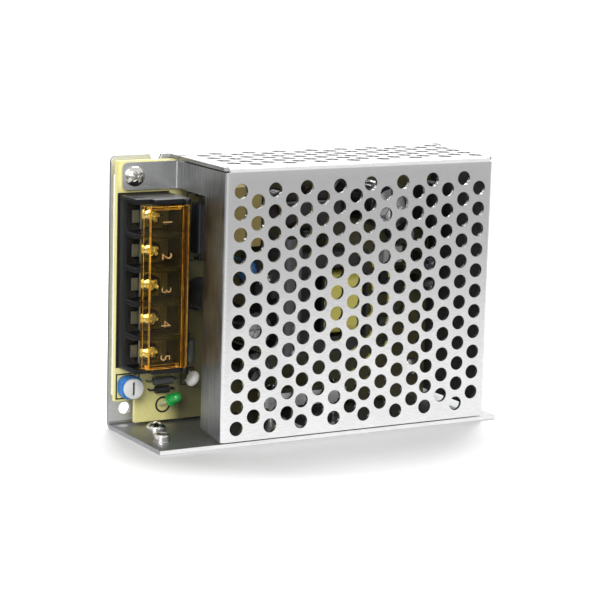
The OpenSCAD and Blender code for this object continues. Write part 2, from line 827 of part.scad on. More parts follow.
// Tube round the centre leg with two flanges, and a pin rail under each end of the core
module transformer_bobbin() color([0.1, 0.1, 0.1])
    on_board(core_x, core_z) {
        rail_w = core_back - 0.4;
        mid = core_low + core_t / 2;
        flange_l = window_l - 0.2;
        difference() {
            union() {
                translate([-flange_l / 2, -tube / 2, mid - (core_t / 2 + bobbin_t + 0.1)])
                    cube([flange_l, tube, core_t + 2 * bobbin_t + 0.2]);
                for (side = [-1, 1]) translate([side * (flange_l / 2 - bobbin_t / 2) - bobbin_t / 2,
                        -winding_w / 2 - 0.6, mid - winding_h / 2 - 0.6])
                    cube([bobbin_t, winding_w + 1.2, winding_h + 1.2]);
            }
            translate([-core_l, -centre_leg / 2 - 0.1, core_low - 0.1])
                cube([2 * core_l, centre_leg + 0.2, core_t + 0.2]);
        }
        for (side = [-1, 1]) translate([side * (core_l / 2 - core_back / 2) - rail_w / 2, -core_w / 2 + 1, 0])
            cube([rail_w, core_w - 2, core_low]);
    }

module transformer_winding() color([0.93, 0.83, 0.16])
    on_board(core_x, core_z) {
        mid = core_low + core_t / 2;
        l = window_l - 0.2 - 2 * bobbin_t - 0.1;
        inner_h = core_t + 2 * bobbin_t + 0.3;
        translate([-l / 2, 0, mid]) rotate([90, 0, 90]) linear_extrude(l) difference() {
            translate([-winding_w / 2, -winding_h / 2]) round_rect(winding_w, winding_h, 4);
            square([tube + 0.1, inner_h], center = true);
        }
    }

// ---- capacitors ----

module bulk_capacitor() color([0.15, 0.15, 0.17]) seated(bulk_at) can(bulk_d, bulk_h);
module output_capacitor_1() color([0.15, 0.15, 0.17]) seated(output_1_at) can(output_d, output_h);
module output_capacitor_2() color([0.15, 0.15, 0.17]) seated(output_2_at) can(output_d, output_h);

module mains_capacitor() color([0.35, 0.36, 0.38])
    seated(mains_at) translate([-mains_w / 2, -mains_l / 2, 0]) linear_extrude(mains_h)
        round_rect(mains_w, mains_l, 0.6);

module blue_capacitor() color([0.15, 0.35, 0.7])
    seated(blue_at) rotate(90) disc_part(blue_d, 3, 8.5, 5);

module white_capacitor() color("white")
    seated(white_at) rotate(60) disc_part(white_d, 2.6, 1.2, 2.6);

module small_capacitors() color([0.18, 0.18, 0.3])
    for (place = small_caps_at) seated(place) can(small_cap_d, small_cap_h);

// ---- mains filter ----

module filter_core() color([0.2, 0.2, 0.21])
    seated(filter_at) translate([0, filter_leg / 2, 0.6]) rotate([90, 0, 0])
        linear_extrude(filter_leg) difference() {
            translate([-filter_l / 2, 0]) square([filter_l, filter_h]);
            translate([-filter_l / 2 + filter_leg, filter_leg])
                square([filter_l - 2 * filter_leg, filter_h - 2 * filter_leg]);
        }

// Coil round one leg: two flanges with the turns between them
module filter_coil(side) {
    coil_h = filter_h - 2 * filter_leg - 0.2;
    bore = filter_leg + 0.2;
    turns = 8;
    turn_h = (coil_h - 1.6) / turns;
    seated(filter_at + [side * (filter_l - filter_leg) / 2, 0])
        translate([0, 0, 0.7 + filter_leg]) difference() {
            union() {
                rotate_extrude() {
                    for (z = [0, coil_h - 0.8]) translate([0, z]) square([5, 0.8]);
                    translate([0, 0.7]) square([3.9, coil_h - 1.4]);
                    for (i = [0:turns - 1]) translate([3.9, 0.8 + (i + 0.5) * turn_h])
                        intersection() {
                            circle(turn_h / 2);
                            translate([0, -1]) square([1, 2]);
                        }
                }
                // foot of the bobbin, down to the board
                translate([-3, -4.4, -0.7 - filter_leg]) cube([6, 2, filter_leg + 0.8]);
                translate([-3, 2.4, -0.7 - filter_leg]) cube([6, 2, filter_leg + 0.8]);
            }
            translate([-bore / 2, -bore / 2, -1]) cube([bore, bore, coil_h + 2]);
        }
}

module filter_winding_1() color([0.6, 0.32, 0.14]) filter_coil(-1);
module filter_winding_2() color([0.6, 0.32, 0.14]) filter_coil(1);

// ---- other components ----

module fuse() color([0.12, 0.12, 0.12]) seated(fuse_at) rotate(90) axial(fuse_d, fuse_l, fuse_l + 4, 0.8);
module thermistor() color([0.12, 0.16, 0.12]) 
    seated(thermistor_at) disc_part(thermistor_d, 3.6, 2.5, 5);

module bridge_rectifier() color([0.12, 0.12, 0.13])
    seated(bridge_at) rotate(90) {
        lead_up = 2;
        lead_pitch = 3.8;
        chamfer = 2;
        difference() {
            translate([-bridge_w / 2, -bridge_t / 2, lead_up]) cube([bridge_w, bridge_t, bridge_h]);
            translate([bridge_w / 2, 0, lead_up + bridge_h]) rotate([90, 45, 0])
                cube([chamfer, chamfer, bridge_t + 1], center = true);
        }
        for (i = [0:3]) translate([(i - 1.5) * lead_pitch - 0.4, -0.25, 0])
            cube([0.8, 0.5, lead_up + eps]);
    }

module control_chip() color([0.1, 0.1, 0.1]) seated(chip_at) chip(9.6, 6.4, 3.4, 4);
module optocoupler() color([0.93, 0.93, 0.9]) 
    seated(coupler_at) rotate(90) chip(4.8, 6.4, 3.4, 2);

module output_inductor() color([0.1, 0.1, 0.11])
    seated(inductor_at) rotate_extrude() {
        rim = 1.2;
        for (z = [0, inductor_h - rim]) translate([0, z]) square([inductor_d / 2, rim]);
        square([inductor_d / 2 - 0.4, inductor_h]);
    }

module resistors() color([0.72, 0.62, 0.45]) {
    body_d = 2.3;
    body_l = 6;
    for (place = resistors_at)
        seated(place) rotate(place[2]) axial(body_d, body_l, body_l + 3, 0.55);
}

module diodes() color([0.1, 0.1, 0.1]) {
    body_d = 2.2;
    body_l = 4;
    for (place = diodes_at)
        seated(place) rotate(place[2]) axial(body_d, body_l, body_l + 3.4, 0.6);
}

// ---- cooled devices ----

module switching_transistor() color([0.12, 0.12, 0.12])
    translate([device_x, device_y, device_low]) power_device(board_face - device_y - device_l);

module insulating_pad() color([0.75, 0.75, 0.8])
    translate([device_x - device_w / 2 - 1, device_y - 1, plate_top])
        cube([device_w + 2, device_l + 1.5, pad_t]);

module clamp_bar() color("gainsboro") {
    round_r = 1;
    difference() {
        translate([device_x - bar_l / 2, bar_y, bar_low]) linear_extrude(bar_h)
            round_rect(bar_l, bar_w, round_r);
        for (x = bar_screws) translate([x, bar_y + bar_w / 2, 0])
            cylinder(d = m3_clear, h = chassis_h / 2);
    }
}

module clamp_bar_screws() color("silver")
    for (x = bar_screws) translate([x, bar_y + bar_w / 2, bar_low + bar_h])
        pan_screw(m3_head_d, m3_head_h, m3_core - 2 * thread_clear, bar_low + bar_h - 0.2);

module heat_spreader() color("gainsboro")
    translate([spreader_x, spreader_front, spreader_z]) difference() {
        linear_extrude(spreader_h) {
            angle_section(spreader_w, board_face - spreader_front, spreader_t, 0.5);
        }
        translate([-1, rectifier_hole, rectifier_z - spreader_z]) rotate([0, 90, 0])
            cylinder(d = m3_core, h = spreader_t + 2);
    }

module output_rectifier() color([0.12, 0.12, 0.12])
    translate([spreader_x, board_face - rectifier_end - device_l, rectifier_z])
        rotate([0, -90, 0]) power_device(rectifier_end);

module rectifier_screw() color("silver")
    translate([spreader_x - 2.8, spreader_front + rectifier_hole, rectifier_z]) rotate([0, -90, 0])
        pan_screw(m3_head_d, m3_head_h, m3_core - 2 * thread_clear, 2.8 + spreader_t);

// ---- nodes ----

stand() chassis();
stand() mesh_cover();
stand() cover_screw();
stand() earth_screw();
stand() board_standoffs();
stand() board_screws();
stand() insulating_film();
stand() circuit_board();
stand() terminal_block();
stand() contact_plates();
stand() clamp_plate(1);  // clamp_plate_1
stand() clamp_plate(2);  // clamp_plate_2
stand() clamp_plate(3);  // clamp_plate_3
stand() clamp_plate(4);  // clamp_plate_4
stand() clamp_plate(5);  // clamp_plate_5
stand() terminal_screw(1);  // terminal_screw_1
stand() terminal_screw(2);  // terminal_screw_2
stand() terminal_screw(3);  // terminal_screw_3
stand() terminal_screw(4);  // terminal_screw_4
stand() terminal_screw(5);  // terminal_screw_5
stand() terminal_cover();
stand() trimmer_body();
stand() trimmer_dial();
stand() status_lamp();
stand() transformer_core();
stand() transformer_bobbin();
stand() transformer_winding();
stand() bulk_capacitor();
stand() output_capacitor_1();
stand() output_capacitor_2();
stand() filter_core();
stand() filter_winding_1();
stand() filter_winding_2();
stand() mains_capacitor();
stand() blue_capacitor();
stand() white_capacitor();
stand() small_capacitors();
stand() bridge_rectifier();
stand() fuse();
stand() thermistor();
stand() switching_transistor();
stand() insulating_pad();
stand() clamp_bar();
stand() clamp_bar_screws();
stand() output_rectifier();
stand() rectifier_screw();
stand() heat_spreader();
stand() control_chip();
stand() optocoupler();
stand() output_inductor();
stand() resistors();
stand() diodes();
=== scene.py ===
"""Looks of an enclosed switching power supply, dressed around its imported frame."""

import json
import logging
import math
from dataclasses import dataclass, field
from enum import Enum
from typing import Callable, Optional, Sequence

import bpy
from mathutils import Matrix, Vector

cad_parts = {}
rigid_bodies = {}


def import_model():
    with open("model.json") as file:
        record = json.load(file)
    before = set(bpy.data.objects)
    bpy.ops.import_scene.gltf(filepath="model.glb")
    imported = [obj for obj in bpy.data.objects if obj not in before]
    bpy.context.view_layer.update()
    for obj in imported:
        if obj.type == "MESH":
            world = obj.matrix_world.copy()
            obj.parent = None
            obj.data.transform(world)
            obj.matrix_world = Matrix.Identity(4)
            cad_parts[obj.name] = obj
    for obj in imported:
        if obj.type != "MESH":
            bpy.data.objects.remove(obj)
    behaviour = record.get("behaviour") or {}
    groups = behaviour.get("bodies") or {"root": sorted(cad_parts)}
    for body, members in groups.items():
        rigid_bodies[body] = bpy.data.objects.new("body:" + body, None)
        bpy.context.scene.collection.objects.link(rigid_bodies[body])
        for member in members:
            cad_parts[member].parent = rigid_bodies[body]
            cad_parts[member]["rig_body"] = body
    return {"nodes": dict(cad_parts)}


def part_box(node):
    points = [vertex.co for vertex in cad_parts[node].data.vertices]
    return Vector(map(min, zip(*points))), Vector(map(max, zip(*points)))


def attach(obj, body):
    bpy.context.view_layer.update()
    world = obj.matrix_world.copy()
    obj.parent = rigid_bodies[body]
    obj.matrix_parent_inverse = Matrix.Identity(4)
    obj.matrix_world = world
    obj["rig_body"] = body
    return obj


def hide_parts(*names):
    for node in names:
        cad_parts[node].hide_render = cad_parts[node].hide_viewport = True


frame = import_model()

MM = 0.001
# Points of a mesh that lie closer than this, in metres, are one
WELD = 0.000002
# A face looks along an axis when that part of its normal is larger than this
FACING = 0.9
# Sockets of a Mix node that mixes colours
MIX_A, MIX_B, MIX_RESULT = 6, 7, 2
# Roughness of a clear coat
COAT_ROUGHNESS = 0.08
LOG = logging.getLogger("power_supply")

Test = Callable[[bpy.types.MeshPolygon], bool]


# ---- finishes ----


class Pattern(Enum):
    """What the surface of a finish shows up close."""

    GRAIN = "even grain of a moulded or cast surface"
    ROLLED = "short streaks of rolled sheet, along the length of the sheet"
    UPRIGHT = "long fine streaks from top to bottom"
    WEAVE = "crossed glass or paper threads of a board"
    WOUND = "fine rings, one above the other, of tape or wire"


def linear(code: str) -> tuple[float, float, float, float]:
    """Turns an sRGB hex value into the linear colour that a shader takes.

    Args:
        code: The colour as six hex digits with a leading #.

    Returns:
        Red, green, blue and an alpha of 1.
    """
    parts = [int(code[i:i + 2], 16) / 255 for i in (1, 3, 5)]
    red, green, blue = (
        p / 12.92 if p <= 0.04045 else ((p + 0.055) / 1.055) ** 2.4 for p in parts
    )
    return red, green, blue, 1.0


def add_node(
    tree: bpy.types.NodeTree, kind: str, inputs: Optional[dict] = None, **settings: object
) -> bpy.types.Node:
    """Adds one shader node with its settings, values and links.

    Args:
        tree: The node tree that gets the node.
        kind: Blender's name of the node type.
        inputs: Values or source sockets by the name or number of the input.
        **settings: Properties of the node itself.

    Returns:
        The new node.
    """
    node = tree.nodes.new(kind)
    for key, value in settings.items():
        setattr(node, key, value)
    for key, value in (inputs or {}).items():
        if isinstance(value, bpy.types.NodeSocket):
            tree.links.new(value, node.inputs[key])
        else:
            node.inputs[key].default_value = value
    return node


@dataclass(frozen=True)
class Finish:
    """One material: its colours, gloss and the grain that its making left; the colours of some
    also carry painted shade, painted light or a painted glow.
    """

    name: str
    colour: str
    second: str
    roughness: float
    rough_swing: float = 0.06
    metallic: float = 0.0
    ior: float = 1.5
    pattern: Pattern = Pattern.GRAIN
    grain_mm: float = 0.8
    bump_mm: float = 0.01
    cloud_mm: float = 12.0
    transmission: float = 0.0
    coat: float = 0.0
    lamp_tint: str = ""
    zone: tuple[float, float] = (0.0, 0.0)
    zone_fade: float = 1.0
    zone_colour: str = "#000000"

    def build(self) -> bpy.types.Material:
        """Builds the material, or gives back the one that was built before.

        Returns:
            The Blender material of this finish.
        """
        made = bpy.data.materials.get(self.name)
        if made is not None:
            return made
        material = bpy.data.materials.new(self.name)
        material.use_nodes = True
        tree = material.node_tree
        tree.nodes.clear()
        place = add_node(tree, "ShaderNodeTexCoord").outputs["Object"]
        fine = self._grain(tree, place)
        cloud = add_node(
            tree, "ShaderNodeTexNoise",
            {"Vector": place, "Scale": 1 / (self.cloud_mm * MM), "Detail": 3.0},
        ).outputs["Fac"]
        both = add_node(
            tree, "ShaderNodeMix", {"Factor": 0.5, "A": fine, "B": cloud}, data_type="FLOAT"
        ).outputs["Result"]
        spread = add_node(
            tree, "ShaderNodeMapRange",
            {"Value": both, "From Min": 0.36, "From Max": 0.64},
        ).outputs["Result"]
        colour = add_node(
            tree, "ShaderNodeMix",
            {"Factor": spread, MIX_A: linear(self.colour), MIX_B: linear(self.second)},
            data_type="RGBA",
        ).outputs[MIX_RESULT]
        # painted shade: a stretch along X is painted in the shade colour, fading in at both ends
        if self.zone[0] != self.zone[1]:
            colour = self._zoned(tree, place, colour)
        rough = add_node(
            tree, "ShaderNodeMapRange",
            {
                "Value": both, "From Min": 0.3, "From Max": 0.7,
                "To Min": self.roughness - self.rough_swing / 2,
                "To Max": self.roughness + self.rough_swing / 2,
            },
        ).outputs["Result"]
        bump = add_node(
            tree, "ShaderNodeBump",
            {"Height": fine, "Distance": self.bump_mm * MM, "Strength": 1.0},
        ).outputs["Normal"]
        shader = add_node(
            tree, "ShaderNodeBsdfPrincipled",
            {
                "Base Color": colour, "Roughness": rough, "Normal": bump,
                "Metallic": self.metallic,
                "Transmission Weight": self.transmission,
                "Coat Weight": self.coat, "Coat Roughness": COAT_ROUGHNESS,
            },
        )
        if not self.metallic:
            shader.inputs["IOR"].default_value = self.ior
        surface = shader.outputs["BSDF"]
        if self.lamp_tint:
            # clear plastic lets the lamps reach what is under it, in its own tint
            passed = add_node(
                tree, "ShaderNodeBsdfTransparent", {"Color": linear(self.lamp_tint)}
            ).outputs["BSDF"]
            lamp_ray = add_node(tree, "ShaderNodeLightPath").outputs["Is Shadow Ray"]
            surface = add_node(
                tree, "ShaderNodeMixShader", {0: lamp_ray, 1: surface, 2: passed}
            ).outputs["Shader"]
        add_node(tree, "ShaderNodeOutputMaterial", {"Surface": surface})
        return material

    def _zoned(
        self, tree: bpy.types.NodeTree, place: bpy.types.NodeSocket,
        colour: bpy.types.NodeSocket,
    ) -> bpy.types.NodeSocket:
        """Darkens the stretch between two places along X with painted shade, fading in at both
        ends.

        Args:
            tree: The node tree of the material.
            place: The socket with the object coordinates.
            colour: The colour of the rest.

        Returns:
            The socket of the colour with its painted shade.
        """
        along = add_node(tree, "ShaderNodeSeparateXYZ", {"Vector": place}).outputs["X"]
        sides = [
            add_node(
                tree, "ShaderNodeMapRange",
                {"Value": along, "From Min": edge * MM, "From Max": (edge + step) * MM},
            ).outputs["Result"]
            for edge, step in (
                (self.zone[0], self.zone_fade), (self.zone[1], -self.zone_fade),
            )
        ]
        inside = add_node(
            tree, "ShaderNodeMath", {0: sides[0], 1: sides[1]}, operation="MULTIPLY"
        ).outputs["Value"]
        return add_node(
            tree, "ShaderNodeMix",
            {"Factor": inside, MIX_A: colour, MIX_B: linear(self.zone_colour)},
            data_type="RGBA",
        ).outputs[MIX_RESULT]

    def _grain(
        self, tree: bpy.types.NodeTree, place: bpy.types.NodeSocket
    ) -> bpy.types.NodeSocket:
        """Adds the nodes of the pattern.

        Args:
            tree: The node tree of the material.
            place: The socket with the object coordinates.

        Returns:
            The socket of the pattern, from 0 to 1.
        """
        per_metre = 1 / (self.grain_mm * MM)
        stretch = {
            Pattern.GRAIN: (1.0, 1.0, 1.0),
            Pattern.ROLLED: (0.12, 1.0, 1.0),
            Pattern.UPRIGHT: (1.0, 1.0, 0.05),
            Pattern.WEAVE: (1.0, 1.0, 0.35),
            Pattern.WOUND: (0.02, 1.0, 0.02),
        }[self.pattern]
        turned = add_node(
            tree, "ShaderNodeMapping",
            {"Vector": place, "Scale": tuple(s * per_metre for s in stretch)},
        ).outputs["Vector"]
        return add_node(
            tree, "ShaderNodeTexNoise", {"Vector": turned, "Scale": 1.0, "Detail": 2.0}
        ).outputs["Fac"]


# Rolled aluminium sheet, mill finish: bright, with a satin spread of the reflections
COVER_SHEET = Finish(
    "rolled_aluminium_cover", "#EBEBEB", "#DDDDDD", 0.25, 0.08, 1.0,
    pattern=Pattern.ROLLED, grain_mm=0.3, bump_mm=0.004,
)
# The narrow flap beside the terminals: dull, with upright streaks; its darker grey is painted
# shade
FLAP_SHEET = Finish(
    "pressed_aluminium_flap", "#737475", "#A0A1A2", 0.38, 0.16, 1.0,
    pattern=Pattern.UPRIGHT, grain_mm=0.5, bump_mm=0.012,
)
# The inner side of that sheet was not brushed, so it is dull; its dark grey is painted shade, so
# the inside of the cover is dark
COVER_INSIDE = Finish(
    "unbrushed_aluminium", "#77797B", "#6B6D6F", 0.6, 0.08, 1.0, grain_mm=0.4, bump_mm=0.006,
)
# The same metal inside the chassis, half matt, so it shows the board as a soft reflection; its
# darker grey is painted shade
CHASSIS_SHEET = Finish(
    "rolled_aluminium_chassis", "#A3A4A6", "#8F9092", 0.45, 0.12, 1.0,
    pattern=Pattern.ROLLED, grain_mm=0.4, bump_mm=0.006,
)
# Painted light: the front of the back plate above the bend, behind the board, is painted pale
# and even
CHASSIS_BACK = Finish(
    "fresh_aluminium_chassis", "#E0E1E2", "#D2D3D4", 0.5, 0.1, 1.0,
    pattern=Pattern.ROLLED, grain_mm=0.4, bump_mm=0.006,
)
# Nickel plate on turned steel: small hard highlights
NICKEL = Finish(
    "nickel_plated_steel", "#D9D7D2", "#C4C1BB", 0.16, 0.08, 1.0, grain_mm=0.5, bump_mm=0.004,
)
# Tinned brass of the wire contacts: pale, half matt
CONTACT = Finish(
    "tinned_brass_contact", "#747577", "#646567", 0.42, 0.1, 1.0, grain_mm=0.4, bump_mm=0.004,
)
# The same brass on the clamp plates, darker from its bath
CLAMP = Finish(
    "tinned_brass_clamp", "#86857F", "#76756F", 0.22, 0.08, 1.0, grain_mm=0.4, bump_mm=0.004,
)
# Tinned copper alloy of leads and tabs: paler and duller than nickel
TINNED = Finish(
    "tinned_lead", "#C9CAC8", "#B2B3B1", 0.32, 0.1, 1.0, grain_mm=0.4, bump_mm=0.004,
)
# Extruded aluminium bar: a plain satin metal
BAR = Finish(
    "extruded_aluminium", "#DADBDC", "#C8C9CB", 0.3, 0.1, 1.0,
    pattern=Pattern.ROLLED, grain_mm=0.3, bump_mm=0.006,
)
# Pickled aluminium plate that cools the rectifier: even dull grey
SPREADER = Finish(
    "pickled_aluminium", "#737476", "#66676A", 0.55, 0.08, 1.0, grain_mm=0.4, bump_mm=0.006,
)
# Polyester film, milky and half matt
FILM = Finish("polyester_film", "#D9D8CE", "#CFCEC3", 0.42, cloud_mm=20.0, bump_mm=0.004)
# Paper and epoxy laminate: cream yellow, a little gloss from its lacquer; under and near
# the cover it is painted dark olive as painted shade, fading in over a few millimetres
LAMINATE = Finish(
    "lacquered_board_laminate", "#DFD894", "#D3CB84", 0.38,
    pattern=Pattern.WEAVE, grain_mm=0.5, bump_mm=0.006,
    zone=(-40.0, 70.0), zone_fade=5.5, zone_colour="#5B5738",
)
# Black epoxy ink of the outlines printed on the board: dull and thin
BOARD_PRINT = Finish("black_board_print", "#1C1B18", "#262420", 0.5, bump_mm=0.002)
# Flame-proof polyester moulding: black with a fine spark-eroded grain
BLACK_MOULDING = Finish(
    "black_polyester_moulding", "#0B0C0D", "#121314", 0.34, 0.1, ior=1.3,
    grain_mm=0.3, bump_mm=0.006,
)
# Smoke amber polycarbonate: clear, it turns the nickel under it to gold
AMBER_CLEAR = Finish(
    "amber_polycarbonate", "#FFEDA0", "#FFE792", 0.04, 0.02, ior=1.18,
    grain_mm=6.0, bump_mm=0.002, transmission=1.0, lamp_tint="#FFEBB8",
)
# Painted glow: the cut edges of the same sheet are painted from brown to golden, as if they
# gathered its light
AMBER_EDGE = Finish(
    "amber_polycarbonate_edge", "#94602A", "#FFC634", 0.14, 0.04, ior=1.4,
    grain_mm=2.0, bump_mm=0.002, cloud_mm=9.0, transmission=0.45, lamp_tint="#FFEBB8",
)
# The same edge where it turns to the block: no light comes out there
AMBER_SHADED = Finish(
    "amber_polycarbonate_shaded", "#2E1D0B", "#3C270F", 0.3, ior=1.4, grain_mm=2.0,
)
# The same sheet where the numbers were pressed: frosted, so they stand out pale
AMBER_FROSTED = Finish(
    "amber_polycarbonate_frosted", "#B99058", "#D9B67A", 0.4, ior=1.4,
    grain_mm=1.0, transmission=0.35, lamp_tint="#FFEBB8",
)
# Glossy blue nylon of the trimmer
BLUE_MOULDING = Finish("blue_nylon_moulding", "#1E6DB4", "#1A64A8", 0.3, grain_mm=0.4)
# Off-white nylon of the dial, half matt, and the painted shade in its slot
WHITE_MOULDING = Finish("white_nylon_moulding", "#D2D3D1", "#C6C7C5", 0.4, grain_mm=0.4)
SLOT_SHADE = Finish("dark_nylon_slot", "#3A3A38", "#2C2C2B", 0.6)
# Green diffusing epoxy of the lamp
GREEN_LENS = Finish(
    "green_diffusing_epoxy", "#1FA544", "#2BB552", 0.18, ior=1.52,
    grain_mm=1.0, bump_mm=0.003, transmission=0.25, coat=0.3,
)
# Sintered ferrite: dark grey, dull, a little crystalline
FERRITE = Finish(
    "sintered_ferrite", "#3A3B3D", "#2B2C2E", 0.55, 0.12, grain_mm=0.35, bump_mm=0.02,
)
# Polyester tape, yellow, wound round the coils: glossy, with the ridges of its turns
YELLOW_TAPE = Finish(
    "yellow_polyester_tape", "#F2E87C", "#E8DC64", 0.28,
    pattern=Pattern.WOUND, grain_mm=0.7, bump_mm=0.03, coat=0.3,
)
# Copper wire dipped in black varnish: dark brown, with a gloss on each turn
VARNISHED_WIRE = Finish(
    "black_varnished_wire", "#2A1E19", "#1C1614", 0.3, grain_mm=0.6, bump_mm=0.01, coat=0.4,
)
# Shrunk sleeve of a capacitor: near black, glossy
SLEEVE = Finish(
    "shrunk_sleeve", "#202127", "#191A1F", 0.24, grain_mm=1.2, bump_mm=0.01, coat=0.3,
)
# Bare end of the aluminium can inside the sleeve
CAN_END = Finish(
    "drawn_aluminium_can", "#C9CBCD", "#B9BBBD", 0.3, 0.1, 1.0, grain_mm=0.5, bump_mm=0.004,
)
# Tan filled epoxy of a boxed mains capacitor, half matt
TAN_MOULDING = Finish("tan_filled_epoxy", "#BDAA66", "#AE9B59", 0.45, grain_mm=0.5)
# Dipped epoxy coats: blue, white and dark green discs with a thick gloss
BLUE_DIP = Finish("blue_dipped_epoxy", "#2C6FA6", "#25608F", 0.25, bump_mm=0.03, coat=0.4)
WHITE_DIP = Finish("white_silicone_dip", "#E6E5E0", "#D9D8D2", 0.35, bump_mm=0.05)
GREEN_DIP = Finish("dark_green_dipped_epoxy", "#26342B", "#1E2A23", 0.3, bump_mm=0.03)
# Baked lacquer on resistors, slate grey
RESISTOR_COAT = Finish("grey_resistor_lacquer", "#5C605E", "#4B4F50", 0.4, grain_mm=0.6)
# Moulded power packages and chips: dark, matt epoxy
CHIP_EPOXY = Finish("black_chip_epoxy", "#1D1D1F", "#242427", 0.5, grain_mm=0.25)


# ---- working on meshes ----


def deselect_all() -> None:
    """Leaves object mode with nothing selected."""
    if bpy.context.object is not None and bpy.context.object.mode != "OBJECT":
        bpy.ops.object.mode_set(mode="OBJECT")
    bpy.ops.object.select_all(action="DESELECT")


def make_active(piece: bpy.types.Object) -> None:
    """Selects one object alone and makes it the active one.

    Args:
        piece: The object that the next operators work on.
    """
    deselect_all()
    piece.select_set(True)
    bpy.context.view_layer.objects.active = piece


def pick_faces(piece: bpy.types.Object, test: Test) -> None:
    """Enters edit mode with the faces that pass a test selected.

    Args:
        piece: The mesh object.
        test: Says of one face whether it is wanted.
    """
    make_active(piece)
    bpy.ops.object.mode_set(mode="EDIT")
    bpy.ops.mesh.select_mode(type="FACE")
    bpy.ops.mesh.select_all(action="DESELECT")
    bpy.ops.object.mode_set(mode="OBJECT")
    for face in piece.data.polygons:
        face.select = test(face)
    bpy.ops.object.mode_set(mode="EDIT")


def leave_edit() -> None:
    """Goes back to object mode."""
    bpy.ops.object.mode_set(mode="OBJECT")


def name_new(name: str) -> bpy.types.Object:
    """Names the object that an operator just added, and its mesh.

    Args:
        name: The name that both get.

    Returns:
        The object.
    """
    piece = bpy.context.active_object
    piece.name = name
    piece.data.name = name
    return piece


def settle(piece: bpy.types.Object) -> None:
    """Moves an object's place, turn and scale into its mesh."""
    make_active(piece)
    bpy.ops.object.transform_apply(location=True, rotation=True, scale=True)


def join(pieces: Sequence[bpy.types.Object]) -> bpy.types.Object:
    """Joins meshes into the first of them.

    Args:
        pieces: The objects, the first of which stays.

    Returns:
        The joined object.
    """
    make_active(pieces[0])
    for piece in pieces:
        piece.select_set(True)
    bpy.ops.object.join()
    return pieces[0]


def round_edges(
    piece: bpy.types.Object, width_mm: float, segments: int = 2, above: float = 35.0
) -> None:
    """Rounds the sharp edges of a mesh with a bevel that is applied.

    Args:
        piece: The mesh object.
        width_mm: Width of the bevel in millimetres.
        segments: How many faces make the round.
        above: Only edges that turn by more than this many degrees are rounded.
    """
    make_active(piece)
    bevel = piece.modifiers.new("edge_round", "BEVEL")
    bevel.width = width_mm * MM
    bevel.segments = segments
    bevel.limit_method = "ANGLE"
    bevel.angle_limit = math.radians(above)
    bevel.use_clamp_overlap = False
    bevel.harden_normals = False
    bpy.ops.object.modifier_apply(modifier=bevel.name)


def smooth(piece: bpy.types.Object, angle: float = 32.0) -> None:
    """Shades a mesh smooth except across edges sharper than an angle in degrees."""
    make_active(piece)
    bpy.ops.object.shade_smooth_by_angle(angle=math.radians(angle))


def paint(piece: bpy.types.Object, finish: Finish) -> None:
    """Gives the whole of an object one finish."""
    piece.data.materials.clear()
    piece.data.materials.append(finish.build())


def paint_part(piece: bpy.types.Object, finish: Finish, test: Test) -> None:
    """Gives the faces that pass a test a finish of their own.

    Args:
        piece: The mesh object, painted before.
        finish: The finish of those faces.
        test: Says of one face whether it is wanted.
    """
    piece.data.materials.append(finish.build())
    number = len(piece.data.materials) - 1
    for face in piece.data.polygons:
        if test(face):
            face.material_index = number


def body_of(node: str) -> str:
    """Gives the name of the body that a CAD node rides on."""
    return str(frame["nodes"][node]["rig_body"])


def dress_node(node: str, finish: Finish) -> None:
    """Gives a CAD node that is shown as it is a better material.

    Args:
        node: The CAD node.
        finish: The finish that takes the place of its plain one.
    """
    carried = frame["nodes"][node]
    for place in carried.material_slots:
        place.material = finish.build()
    LOG.info("dressed %s in %s", node, finish.name)


def soft_copy(
    node: str, name: str, finish: Finish, width_mm: float = 0.0, segments: int = 1,
    flat: float = 32.0,
) -> bpy.types.Object:
    """Makes a piece from a CAD node, with joined faces, rounded edges and smooth shading.

    Args:
        node: The CAD node that the piece stands for.
        name: The name of the piece.
        finish: Its finish.
        width_mm: Width of the rounding of its edges; 0 leaves them sharp.
        segments: How many faces make each round.
        flat: The angle under which neighbouring faces are shaded as one.

    Returns:
        The piece, which rides on the node's body.
    """
    mesh = frame["nodes"][node].data.copy()
    piece = bpy.data.objects.new(name, mesh)
    mesh.name = name
    bpy.context.scene.collection.objects.link(piece)
    make_active(piece)
    bpy.ops.object.mode_set(mode="EDIT")
    bpy.ops.mesh.select_all(action="SELECT")
    bpy.ops.mesh.remove_doubles(threshold=WELD)
    bpy.ops.mesh.dissolve_limited(angle_limit=math.radians(0.5))
    leave_edit()
    if width_mm:
        round_edges(piece, width_mm, segments)
    smooth(piece, flat)
    paint(piece, finish)
    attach(piece, body_of(node))
    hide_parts(node)
    LOG.info("made %s for %s, %d faces", name, node, len(mesh.polygons))
    return piece


def raised_outline(
    name: str, line_mm: float, rise_mm: float, finish: Finish
) -> bpy.types.Object:
    """Turns the flat shape that was just added into a thin outline raised towards -Y.

    Args:
        name: Its name.
        line_mm: Width of the line in millimetres.
        rise_mm: How far it stands out in millimetres.
        finish: Its finish.

    Returns:
        The outline.
    """
    outline = name_new(name)
    settle(outline)
    make_active(outline)
    bpy.ops.object.mode_set(mode="EDIT")
    bpy.ops.mesh.select_mode(type="FACE")
    bpy.ops.mesh.select_all(action="SELECT")
    bpy.ops.mesh.inset(thickness=line_mm * MM, depth=0)
    bpy.ops.mesh.delete(type="FACE")
    bpy.ops.mesh.select_all(action="SELECT")
    bpy.ops.mesh.extrude_region_move(
        TRANSFORM_OT_translate={"value": (0, -rise_mm * MM, 0)}
    )
    bpy.ops.mesh.select_all(action="SELECT")
    bpy.ops.mesh.normals_make_consistent(inside=False)
    leave_edit()
    paint(outline, finish)
    return outline


def turned(face: bpy.types.MeshPolygon, axis: int, sign: int) -> bool:
    """Says whether a face looks along an axis, the way that sign gives."""
    return face.normal[axis] * sign > FACING


# ---- the sheet metal ----


